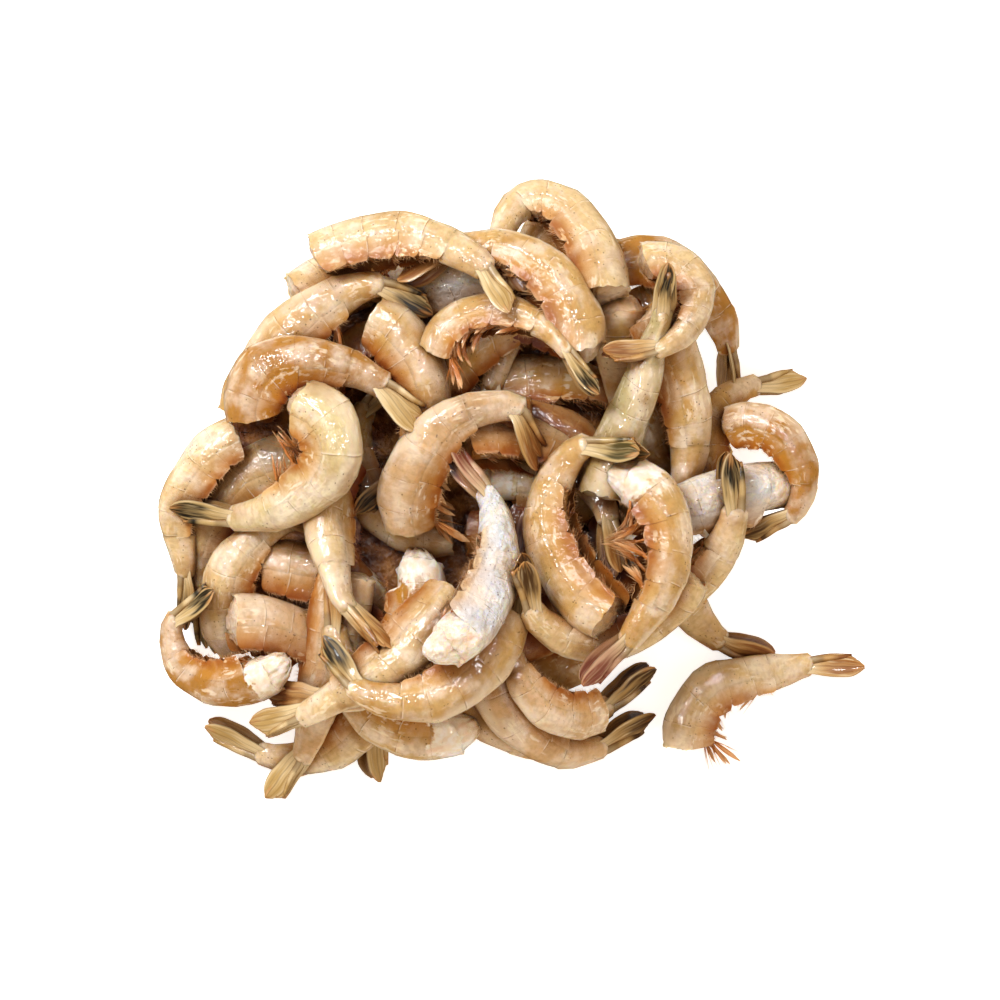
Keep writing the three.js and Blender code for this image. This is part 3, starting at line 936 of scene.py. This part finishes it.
def hidden_shrimp(cover, chance):
    """Shrimp deep in the heap, of which only glimpses show between the others."""
    laid, hidden = [], []
    for _ in range(HIDDEN_TRIES):
        turn = chance.uniform(0, math.tau)
        far = math.sqrt(chance.uniform(0, 1))
        x = CORE_X + HIDDEN_REACH[0] * far * math.cos(turn)
        y = CORE_Y + HIDDEN_REACH[1] * far * math.sin(turn)
        heading = math.degrees(turn) + chance.uniform(60, 120)
        side = chance.choice((LEFT, RIGHT))
        curl = chance.uniform(*HIDDEN_CURLS)
        tint = chance.choice(("tan", "ochre", "olive"))
        shrimp = Shrimp((x, y, heading, curl, curl, 0, side, *HIDDEN_SIZE, 0, 0, tint))
        before = len(laid)
        shrimp.lay(laid)
        if covered(shrimp, cover):
            shrimp.shade = DEEP_SHADE
            hidden.append(shrimp)
        else:
            del laid[before:]
        if len(hidden) == HIDDEN_COUNT:
            break
    for row in FOOT:
        shrimp = Shrimp(row)
        shrimp.lay([])
        shrimp.shade = FOOT_SHADE
        hidden.append(shrimp)
    return hidden


def soften(piece, dents):
    """Pulls a piece out of true, as soft flesh and thin shell lie: wide dents and small ones."""
    select_only(piece)
    for width, pull in dents:
        dent = bpy.data.textures.new("dents", "CLOUDS")
        dent.cloud_type = "COLOR"
        dent.noise_scale = width * MM
        dent.noise_depth = 1
        press = piece.modifiers.new("dents", "DISPLACE")
        press.texture = dent
        press.texture_coords = "LOCAL"
        press.direction = "RGB_TO_XYZ"
        press.mid_level = 0.5
        press.strength = pull * MM
        bpy.ops.object.modifier_apply(modifier=press.name)


def press_on_floor(piece):
    """Presses what would reach below the floor flat onto it."""
    bpy.ops.object.mode_set(mode="EDIT")
    pick(piece, lambda p: p.z < FLOOR_GAP)
    resize(1, 1, 0.02, (0, 0, FLOOR_GAP))
    bpy.ops.object.mode_set(mode="OBJECT")


def in_pieces(copies, name):
    """Joins copies into as few pieces as keep below the limit of triangles."""
    pieces, batch, total = [], [], 0
    for made in copies:
        made.data.calc_loop_triangles()
        count = len(made.data.loop_triangles)
        if total + count > PIECE_LIMIT:
            pieces.append(batch)
            batch, total = [], 0
        batch.append(made)
        total += count
    pieces.append(batch)
    joined = [join(group, f"{name}_{i + 1}") for i, group in enumerate(pieces)]
    for piece in joined:
        soften(piece, DENTS)
        press_on_floor(piece)
    return joined


def build_heap():
    """Every piece of every shrimp, joined by kind."""
    bpy.ops.object.select_all(action="DESELECT")
    flaps = join([side_flaps(i, *row) for i, row in enumerate(PLATES)], "flaps")
    rear_flaps = join([side_flaps(i, *row) for i, row in enumerate(PLATES) if i > 0], "rear_flaps")
    bodies = {cut: body(cut) for cut in CUTS}
    fans = tail_fans()
    legs = {name: swimmerets(name, *row) for name, row in LEGS.items()}
    templates = [flaps, rear_flaps, *bodies.values(), *fans.values(), *legs.values()]
    chance = random.Random(11)
    shrimps, laid = lay_heap()
    made = {"bodies": [], "side_flaps": [], "tail_fans": [], "swimmerets": []}
    for number, shrimp in enumerate(shrimps + hidden_shrimp(laid, chance)):
        line, longer = middle_line(shrimp)
        tail = shrimp.tail / FAN_LENGTH
        bare = shrimp.cut in ("domed", "lumpy")
        warmth = chance.uniform(0.7, 1) * (0.3 if shrimp.tint == "silver" else 1)
        lot = (PATTERN_STEP * number, warmth, 1 if bare else chance.uniform(0.0, 0.45))
        middle, tip = (linear(code) for code in FAN_TINTS[shrimp.fan_tint])
        body_tint = linear(SHELL_TINTS[shrimp.tint])
        for kind, template, share, start, colour in (
            ("bodies", bodies[shrimp.cut], shrimp.size, 0, body_tint),
            ("side_flaps", rear_flaps if bare else flaps, shrimp.size, 0, body_tint),
            ("tail_fans", fans[shrimp.fan_form], tail, shrimp.body - BODY_LENGTH * tail, middle),
            ("swimmerets", legs[shrimp.legs], shrimp.size, 0, body_tint),
        ):
            piece = bend(template, shrimp, line, longer, share, start)
            mark(piece, "lot", lot)
            mark(piece, "tint", colour)
            mark(piece, "shade", shrimp.shade)
            if kind == "tail_fans":
                mark(piece, "tip", tip)
            made[kind].append(piece)
        bpy.data.objects.remove(line)
    for template in templates:
        bpy.data.objects.remove(template)
    return {kind: in_pieces(copies, kind) for kind, copies in made.items()}


def core_mound():
    """The dark, wet and lumpy bottom of the heap, seen only deep between the shrimp; its dark
    colour is painted shade.
    """
    bpy.ops.mesh.primitive_uv_sphere_add(segments=48, ring_count=24, radius=MM)
    mound = begin("dark_core")
    pick(mound, lambda p: p.z < -0.01)
    bpy.ops.mesh.delete(type="VERT")
    pick(mound, lambda p: p.z < 0.01)
    bpy.ops.mesh.edge_face_add()
    bpy.ops.mesh.select_all(action="SELECT")
    resize(MOUND_HALF_LENGTH, MOUND_HALF_WIDTH, CORE_HEIGHT, (0, 0, 0))
    move(x=CORE_X, y=CORE_Y)
    leave_edit(mound)
    mark(mound, "shade", (1, 1, 1))
    soften(mound, CORE_LUMPS)
    press_on_floor(mound)
    return mound


# Materials


def add_node(tree, kind, inputs=None, **settings):
    """Adds a node with its settings, gives each input a value or links a socket to it, and
    returns its outputs."""
    node = tree.nodes.new("ShaderNode" + kind)
    for name, value in settings.items():
        setattr(node, name, value)
    for key, value in (inputs or {}).items():
        if isinstance(value, bpy.types.NodeSocket):
            tree.links.new(value, node.inputs[key])
        else:
            node.inputs[key].default_value = value
    return node.outputs


def new_material(name):
    made = bpy.data.materials.new(name)
    made.use_nodes = True
    made.node_tree.nodes.clear()
    return made, made.node_tree


def kept_values(tree, *names):
    """The three numbers of each attribute that the pieces carry."""
    values = []
    for name in names:
        vector = add_node(tree, "Attribute", attribute_name=name)["Vector"]
        values.append(add_node(tree, "SeparateXYZ", {0: vector}))
    return values


def moved_on(tree, scale):
    """The place in the straight shrimp or blade, in mm, moved on for each shrimp so that no
    two patterns match."""
    own = add_node(tree, "Attribute", attribute_name="own")["Vector"]
    in_mm = add_node(tree, "VectorMath", {0: own, 1: scale}, operation="MULTIPLY")[0]
    lot = add_node(tree, "Attribute", attribute_name="lot")["Vector"]
    phase = add_node(tree, "SeparateXYZ", {0: lot})[0]
    shift = add_node(tree, "CombineXYZ", {0: phase, 1: phase})[0]
    return add_node(tree, "VectorMath", {0: in_mm, 1: shift}, operation="ADD")[0]


def masks(tree, rows):
    """Soft masks by name. Each row has the name, the measure that the mask follows, or else the
    place, width in mm and detail of cloudy patches, the values at which the mask begins and is
    full, and how strong it is there."""
    made = {}
    for name, measure, low, high, least, most in rows:
        if isinstance(measure, tuple):
            place, width, detail = measure
            inputs = {"Vector": place, "Scale": 1 / width, "Detail": detail}
            measure = add_node(tree, "TexNoise", inputs)[0]
        inputs = {0: measure, 1: low, 2: high, 3: least, 4: most}
        made[name] = add_node(tree, "MapRange", inputs, interpolation_type="SMOOTHSTEP")[0]
    return made


def paint(tree, colour, over, *shares):
    """Lays a colour over another, as strongly as all the shares together say."""
    share = shares[0]
    for other in shares[1:]:
        share = add_node(tree, "Math", {0: share, 1: other}, operation="MULTIPLY")[0]
    if isinstance(over, str):
        over = (*linear(over), 1)
    return add_node(tree, "Mix", {0: share, 6: colour, 7: over}, data_type="RGBA")[2]


def paint_in_shade(tree, colour, crevices=True):
    """Painted shade: darker and redder for the shrimp that lie deep in the heap, and in the
    crevices between them, where light comes only through wet flesh; near black in the
    narrowest crevices."""
    shade = add_node(tree, "Attribute", attribute_name="shade")["Vector"]
    colour = add_node(tree, "VectorMath", {0: colour, 1: shade}, operation="MULTIPLY")[0]
    if not crevices:
        return colour
    open_to_light = add_node(tree, "AmbientOcclusion", {"Distance": CREVICE * MM}, samples=2)["AO"]
    near = masks(tree, (
        ("crevice", open_to_light, 0.9, 0.33, 0, 1),
        ("deepest_crevice_shade", open_to_light, 0.46, 0.1, 0, 0.9),
    ))
    # painted shade: the crevices take a red-brown filter, and the narrowest go near black
    filtered = add_node(tree, "VectorMath", {0: colour, 1: CREVICE_SHADE}, operation="MULTIPLY")[0]
    colour = paint(tree, colour, filtered, near["crevice"])
    return paint(tree, colour, "2C0E04", near["deepest_crevice_shade"])


def finish(tree, inputs, height, depth, coat_depth=None):
    """The surface, with what is constant set on its own sockets, and its fine relief in mm."""
    bump = {"Height": height, "Distance": depth * MM}
    inputs["Normal"] = add_node(tree, "Bump", bump)[0]
    if coat_depth:
        bump = {"Height": height, "Distance": coat_depth * MM}
        inputs["Coat Normal"] = add_node(tree, "Bump", bump)[0]
    shader = add_node(tree, "BsdfPrincipled", inputs)[0]
    add_node(tree, "OutputMaterial", {"Surface": shader})


def shell_material(name, glow, gloss, relief, coat_relief, belly_share):
    """Raw shrimp shell: thin clear chitin over wet grey flesh, which glows soft and creamy,
    goes amber to red-brown along the belly, and breaks its highlights on a film of water.
    Where the knife cut, the firm pearly meat shows, white with a pink cast."""
    made, tree = new_material(name)
    (along, up, aside), (_, warmth, whiteness), (share, down, is_cut) = kept_values(
        tree, "own", "lot", "plate"
    )
    place = moved_on(tree, (1, 1, 1))
    tint = add_node(tree, "Attribute", attribute_name="tint")["Vector"]
    # stretched along the shrimp, and stretched round it as the chitin's fibres run
    lengthwise = add_node(tree, "VectorMath", {0: place, 1: (0.4, 1, 1)}, operation="MULTIPLY")[0]
    round_it = add_node(tree, "VectorMath", {0: place, 1: (1, 0.4, 0.4)}, operation="MULTIPLY")[0]
    # 1 along the middle of the back, 0 at the sides
    flat = add_node(tree, "CombineXYZ", {1: up, 2: aside})[0]
    radius = add_node(tree, "VectorMath", {0: flat}, operation="LENGTH")["Value"]
    backness = add_node(tree, "Math", {0: up, 1: radius}, operation="DIVIDE")[0]

    cloudy = masks(tree, (
        ("milk", (place, 8.5, 4), 0.42, 0.64, 0, 0.6),
        ("stain", (place, 14, 4), 0.5, 0.7, 0, 0.5),
        ("amber", (place, 6.3, 3), 0.3, 0.58, 0.4, 1),
        ("red", (place, 7.4, 3), 0.38, 0.56, 0.3, 1),
        ("back", (place, 7, 3), 0.35, 0.65, 0, 0.4),
        ("back_light_through", (place, 24, 1), 0.45, 0.58, 0, 0.5),
        ("seam", (place, 4, 1), 0.46, 0.62, 0, 1),
        ("speck_size", (place, 6, 1), 0.4, 0.62, 0.02, 0.17),
        ("meat", (place, 2.6, 3), 0.35, 0.65, 0, 1),
        ("blush", (place, 5, 1), 0.5, 0.68, 0, 0.25),
        ("ragged", (place, 3, 3), 0.3, 0.7, -3, 3),
        ("sheen_field", (place, 11, 1), 0.48, 0.64, 0, 1),
        ("sheen_flakes", (lengthwise, 1.5, 3), 0.52, 0.64, 0, 0.55),
        ("streaks", (round_it, 1.1, 2), 0.42, 0.68, 0, 0.2),
        ("mottle", (place, 1.7, 2), 0.42, 0.7, 0, 0.2),
        ("crumple", (place, 3.3, 3), 0.3, 0.7, 0, 2.4),
    ))
    ragged_along = add_node(tree, "Math", {0: along, 1: cloudy["ragged"]})[0]
    soft = masks(tree, (
        ("belly", up, 3.4, -6.2, 0, 1),
        ("deep_belly", up, -2.8, -8.2, 0, 0.75),
        ("front_belly", along, 50, 30, 0.3, 1),
        ("crook", along, 48, 26, 0.1, 1),
        ("behind_cut", along, 2, 12, 0.2, 1),
        ("foil", warmth, 0.5, 0.4, 0, 1),
        ("back", backness, 0.7, 0.95, 0, 1),
        ("back_rim_light", backness, 0.985, 0.999, 0, 0.4),
        ("rear_edge", share, 0.94, 0.985, 0, 0.45),
        ("under_edge", share, 0.05, 0.015, 0, 0.4),
        ("inner_edge", down, 0.1, 0.95, 0, 0.9),
        ("thin_rim", down, 0.9, 1.0, 0, 0.2),
        ("bare_meat", ragged_along, 10.0, 7.5, 0, 1),
        ("white_cut", whiteness, 0.9, 0.95, 0, 1),
    ))

    # flesh seen through the shell, in milky and brown patches, and the shell's fibres
    colour = paint(tree, tint, "F2EBDC", cloudy["milk"])
    for shade, cloud in (("A0722F", "stain"), ("8C6A38", "streaks"), ("94713C", "mottle")):
        colour = paint(tree, colour, shade, cloudy[cloud], warmth)
    # amber to red-brown along the belly, most under the front plates
    belly_warmth = add_node(tree, "Math", {0: warmth, 1: belly_share}, operation="MULTIPLY")[0]
    for shade, band, cloud in (("BC7E1C", "belly", "amber"), ("8A4A0C", "deep_belly", "red")):
        shares = soft[band], cloudy[cloud], soft["front_belly"], belly_warmth
        colour = paint(tree, colour, shade, *shares)
    # red-brown where the flaps end, in the crook of the curled shrimp
    crook = soft["inner_edge"], soft["crook"], soft["behind_cut"], cloudy["red"], belly_warmth
    colour = paint(tree, colour, "94560F", *crook)
    # brown along the back, or pale: the pale patches are painted light, as where the white surface
    # shines through the shell's clear edge, and a pale painted rim light runs down the back's middle
    colour = paint(tree, colour, "A87832", soft["back"], cloudy["back"])
    colour = paint(tree, colour, "EFE6CF", soft["back"], cloudy["back_light_through"])
    colour = paint(tree, colour, "E4D3AC", soft["back_rim_light"])
    # flakes of a milky veil where water stands between the shell and the flesh: partly the film's
    # own whitish colour, partly a painted sheen that stands for broken highlights
    colour = paint(tree, colour, "F7EFD8", cloudy["sheen_flakes"], cloudy["sheen_field"])
    # each plate's rear edge is a pale line, and a thin dark line follows it
    colour = paint(tree, colour, "F3EBD8", soft["rear_edge"], cloudy["seam"])
    colour = paint(tree, colour, "704818", soft["under_edge"], cloudy["seam"])
    # small brown pigment specks
    cells = add_node(tree, "TexVoronoi", {"Vector": place, "Scale": 0.62})["Distance"]
    speck_input = {0: cells, 1: cloudy["speck_size"]}
    speck = add_node(tree, "Math", speck_input, operation="LESS_THAN")[0]
    colour = paint(tree, colour, "54380F", speck, 0.6)
    # towards their lower edges the flaps let amber flesh through, and their rims are pale
    filtered = {0: colour, 1: (0.97, 0.74, 0.4)}
    through = add_node(tree, "VectorMath", filtered, operation="MULTIPLY")[0]
    colour = paint(tree, colour, through, soft["inner_edge"], cloudy["amber"])
    colour = paint(tree, colour, "E9D9B6", soft["thin_rim"])
    # the cut, and the bare meat behind it where the first plate came off with the head
    meat = paint(tree, (*linear("EFE3CF"), 1), "FFFCF4", cloudy["meat"])
    meat = paint(tree, meat, "E9B485", cloudy["blush"])
    colour = paint(tree, colour, meat, is_cut, whiteness)
    colour = paint(tree, colour, meat, soft["bare_meat"], soft["white_cut"])

    # the film of water: uneven every 2 mm or so, and crumpled on the silvery shrimp
    ripple = add_node(tree, "TexNoise", {"Vector": place, "Scale": 1 / 2.4, "Detail": 2.0})[0]
    on_foil = {0: cloudy["crumple"], 1: soft["foil"]}
    crumple = add_node(tree, "Math", on_foil, operation="MULTIPLY")[0]
    ripple = add_node(tree, "Math", {0: ripple, 1: crumple})[0]
    finish(tree, {
        "Base Color": paint_in_shade(tree, colour),
        "Roughness": 0.5,
        "IOR": 1.45,
        "Specular IOR Level": 0.2,
        "Subsurface Weight": glow,
        "Subsurface Radius": (1.0, 0.7, 0.36),
        "Subsurface Scale": 2.6 * MM,
        "Coat Weight": gloss,
        "Coat Roughness": 0.03,
        "Coat IOR": 1.42,
    }, ripple, relief, coat_relief)
    return made


def fan_material():
    """Tail fan chitin: thin horny blades, cream to amber, with brown ribs, a dark field that
    stops short of the clear rim, and a thin dark outline."""
    made, tree = new_material("tail_fan_chitin")
    (along, aside, _), = kept_values(tree, "own")
    tint = add_node(tree, "Attribute", attribute_name="tint")["Vector"]
    tip = add_node(tree, "Attribute", attribute_name="tip")["Vector"]
    # the own places are shares of a blade, 18 mm along and 3 mm to each side
    place = moved_on(tree, (18, 3, 5))
    lengthwise = add_node(tree, "VectorMath", {0: place, 1: (0.1, 1, 1)}, operation="MULTIPLY")[0]
    cloudy = masks(tree, (
        ("streaks", (lengthwise, 0.8, 2), 0.38, 0.56, 0.6, 1),
        ("pale_streaks", (lengthwise, 0.9, 2), 0.55, 0.68, 0, 0.5),
        ("wander", (lengthwise, 1.4, 2), 0.3, 0.7, -0.14, 0.14),
    ))
    wandering = add_node(tree, "Math", {0: along, 1: cloudy["wander"]})[0]
    off_middle = add_node(tree, "Math", {0: aside}, operation="ABSOLUTE")[0]
    off_rib = add_node(tree, "Math", {0: off_middle, 1: 0.46}, operation="SUBTRACT")[0]
    off_rib = add_node(tree, "Math", {0: off_rib}, operation="ABSOLUTE")[0]
    soft = masks(tree, (
        ("amber", along, 0.05, 0.4, 0, 0.8),
        ("dark_field", wandering, 0.34, 0.68, 0, 1),
        ("inside_rim", off_middle, 0.88, 0.66, 0, 1),
        ("short_of_tip", wandering, 1.04, 0.92, 0, 1),
        ("orange_tip", wandering, 0.86, 1.0, 0, 0.5),
        ("middle_rib", off_middle, 0.1, 0.03, 0, 0.35),
        ("side_rib", off_rib, 0.08, 0.02, 0, 0.25),
        ("outline", off_middle, 0.9, 0.97, 0, 0.5),
    ))
    colour = paint(tree, (*linear("DDCBA0"), 1), tint, soft["amber"])
    colour = paint(tree, colour, "EDDFB8", cloudy["pale_streaks"])
    colour = paint(
        tree, colour, tip, soft["dark_field"], soft["inside_rim"], soft["short_of_tip"],
        cloudy["streaks"]
    )
    colour = paint(tree, colour, "B9752F", soft["orange_tip"])
    for rib in ("middle_rib", "side_rib", "outline"):
        colour = paint(tree, colour, "5F431E", soft[rib])
    finish(tree, {
        "Base Color": paint_in_shade(tree, colour),
        "Roughness": 0.42,
        "IOR": 1.5,
        "Specular IOR Level": 0.3,
        "Coat Weight": 0.4,
        "Coat Roughness": 0.06,
        "Coat IOR": 1.4,
    }, cloudy["streaks"], 0.12)
    return made


def swimmeret_material():
    """Swimmerets: soft, thin, wet leaves, orange at their stalks and clear at their tips."""
    made, tree = new_material("swimmeret_skin")
    (along, _, _), (_, warmth, _) = kept_values(tree, "own", "lot")
    # the own places are shares of a leaf, 8 mm along and 1 mm to each side
    place = moved_on(tree, (8, 1.2, 1))
    cloudy = masks(tree, (
        ("wander", (place, 3, 2), 0.3, 0.7, -0.3, 0.3),
        ("skin", (place, 0.6, 2), 0.3, 0.7, 0, 1),
    ))
    wandering = add_node(tree, "Math", {0: along, 1: cloudy["wander"]})[0]
    clear = masks(tree, (("clear", wandering, 0.3, 1.1, 0, 0.8),))["clear"]
    colour = paint(tree, (*linear("9C4A18"), 1), "D2843C", warmth)
    colour = paint(tree, colour, "EFC48E", clear)
    finish(tree, {
        "Base Color": paint_in_shade(tree, colour, crevices=False),
        "Roughness": 0.32,
        "IOR": 1.45,
        "Coat Weight": 0.8,
        "Coat Roughness": 0.06,
        "Coat IOR": 1.4,
    }, cloudy["skin"], 0.1)
    return made


def core_material():
    """Wet flesh and shell at the bottom of the heap, in painted shade: dark brown with amber
    patches.
    """
    made, tree = new_material("shaded_wet_heap_core")
    position = add_node(tree, "TexCoord")["Object"]
    in_mm = add_node(tree, "VectorMath", {0: position, 1: (1 / MM,) * 3}, operation="MULTIPLY")[0]
    cloudy = masks(tree, (
        ("amber", (in_mm, 9, 4), 0.4, 0.6, 0, 1),
        ("lumps", (in_mm, 3, 4), 0.3, 0.7, 0, 1),
    ))
    # painted shade: flesh in shadow, dark brown with amber patches
    colour = paint(tree, (*linear("6E3D18"), 1), "C08A4C", cloudy["amber"])
    finish(tree, {
        "Base Color": paint_in_shade(tree, colour),
        "Roughness": 0.35,
        "Specular IOR Level": 0.3,
    }, cloudy["lumps"], 0.8)
    return made


def floor_material():
    """A white acrylic light board, matt and lit from below, so that it stays white up to the
    heap as the photograph's surface does."""
    made, tree = new_material("white_acrylic_light_board")
    position = add_node(tree, "TexCoord")["Object"]
    grain = add_node(tree, "TexNoise", {"Vector": position, "Scale": 900.0})[0]
    finish(tree, {
        "Base Color": (*linear("F7F7F5"), 1),
        "Roughness": 0.6,
        "Emission Color": (1, 1, 1, 1),
        "Emission Strength": 0.72,
    }, grain, 0.02)
    return made


# Putting the scene together

heap = build_heap()
finishes = {
    "bodies": shell_material(
        "raw_shrimp_shell", glow=0.85, gloss=1.0, relief=0.3, coat_relief=0.5, belly_share=1.0
    ),
    "side_flaps": shell_material(
        "clear_shell_flap", glow=0.0, gloss=0.35, relief=0.2, coat_relief=0.3, belly_share=0.85
    ),
    "tail_fans": fan_material(),
    "swimmerets": swimmeret_material(),
}
core = core_mound()
core.data.materials.append(core_material())
parts_of_heap = [core]
for kind, pieces in heap.items():
    for piece in pieces:
        piece.data.materials.clear()
        piece.data.materials.append(finishes[kind])
        parts_of_heap.append(piece)
for piece in parts_of_heap:
    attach(piece, "root")
    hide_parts("shrimp_heap")

# The photograph's frame: its width in millimetres at this height over the surface, where 3
# pixels are 1 mm, how far off the camera is, and its sensor's width
FRAME_WIDTH = 1000 / 3
FRAME_HEIGHT = 25
CAMERA_DISTANCE = 2500
SENSOR = 36

# Three small lamps that only make glints on the water film
GLINTS = ((-0.15, 0.75, 1.4), (-0.5, 0.05, 1.5), (0.3, 0.3, 1.5))


def add_light(name, place, size, energy, colour="FFFFFF"):
    """A square soft box that faces the heap."""
    lamp = bpy.data.lights.new(name, "AREA")
    lamp.shape = "SQUARE"
    lamp.size = size
    lamp.energy = energy
    lamp.color = linear(colour)
    holder = bpy.data.objects.new(name, lamp)
    holder.location = place
    holder.rotation_euler = (-Vector(place)).to_track_quat("-Z", "Y").to_euler()
    bpy.context.scene.collection.objects.link(holder)
    return holder


bpy.ops.mesh.primitive_plane_add(size=6, location=(0, 0, 0))
floor = bpy.context.object
floor.name = "floor"
floor.data.materials.append(floor_material())
floor.visible_glossy = False

add_light("key_soft_box", (-0.75, 0.85, 1.25), size=0.55, energy=28, colour="F7F8FF")
add_light("fill_soft_box", (0.9, -0.5, 1.3), size=1.0, energy=5)
for i, spot in enumerate(GLINTS):
    glint = add_light(f"glint_{i + 1}", spot, size=0.18, energy=7)
    glint.visible_diffuse = False

world = bpy.data.worlds.new("studio")
bpy.context.scene.world = world
world.use_nodes = True
world.cycles_visibility.glossy = False
background = world.node_tree.nodes["Background"].inputs
background["Color"].default_value = (*linear("FFDDB8"), 1)
background["Strength"].default_value = 0.62

lens = bpy.data.cameras.new("camera")
lens.sensor_width = SENSOR
lens.lens = SENSOR * CAMERA_DISTANCE / FRAME_WIDTH
lens.clip_end = 20
camera = bpy.data.objects.new("camera", lens)
camera.location = (0, 0, (CAMERA_DISTANCE + FRAME_HEIGHT) * MM)
bpy.context.scene.collection.objects.link(camera)
bpy.context.scene.camera = camera
bpy.context.scene.view_settings.view_transform = "Standard"
